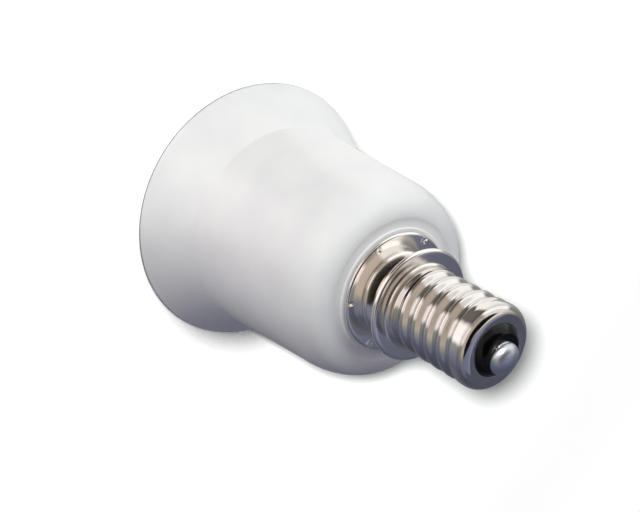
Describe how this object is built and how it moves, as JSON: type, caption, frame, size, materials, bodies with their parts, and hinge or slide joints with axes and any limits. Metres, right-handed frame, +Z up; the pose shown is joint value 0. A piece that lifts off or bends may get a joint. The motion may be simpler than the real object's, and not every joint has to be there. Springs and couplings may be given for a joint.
{
  "type": "lamp socket adapter",
  "caption": "White bell-shaped lamp socket adapter: a small plated screw cap with a black glass tip feeds a wide screw socket in its mouth.",
  "frame": {"origin": "centre of the mouth rim, in the rim's plane", "axes": "+Z up the axis from the mouth to the cap's tip; the contact leaf's root lies towards -X"},
  "size_m": [0.0488, 0.0488, 0.0672],
  "materials": {
    "housing_plastic": "white moulded PBT, satin gloss",
    "nickel_plate": "bright nickel plating on pressed brass",
    "black_glass": "glossy fused black glass",
    "brass": "plain brass",
    "solder": "smooth bright solder",
    "copper": "bare copper wire",
    "sleeve": "matt insulating sleeve",
    "socket_plate": "nickel plating on pressed steel",
    "screw_steel": "zinc-plated steel",
    "spring_bronze": "rolled phosphor bronze"
  },
  "bodies": {
    "adapter": {"housing": "housing_plastic", "cap_shell": "nickel_plate", "cap_insulator": "black_glass", "tip_eyelet": "brass", "tip_solder": "solder", "centre_lead": "copper", "centre_sleeve": "sleeve", "side_lead": "copper", "side_sleeve": "sleeve", "side_solder": "solder", "socket_shell": "socket_plate", "shell_screws": "screw_steel", "side_tag": "brass", "contact_rivet": "brass", "centre_tag": "brass"},
    "contact_tongue": {"contact_leaf": "spring_bronze"}
  },
  "joints": [
    {"name": "contact_spring", "type": "hinge", "parent": "adapter", "child": "contact_tongue", "pos_m": [-0.00509, 0, 0.03235], "axis": [0, 1, 0], "range_deg": [-14, 0], "stiffness_Nm_per_rad": 0.13, "deforming": ["contact_leaf"]}
  ]
}
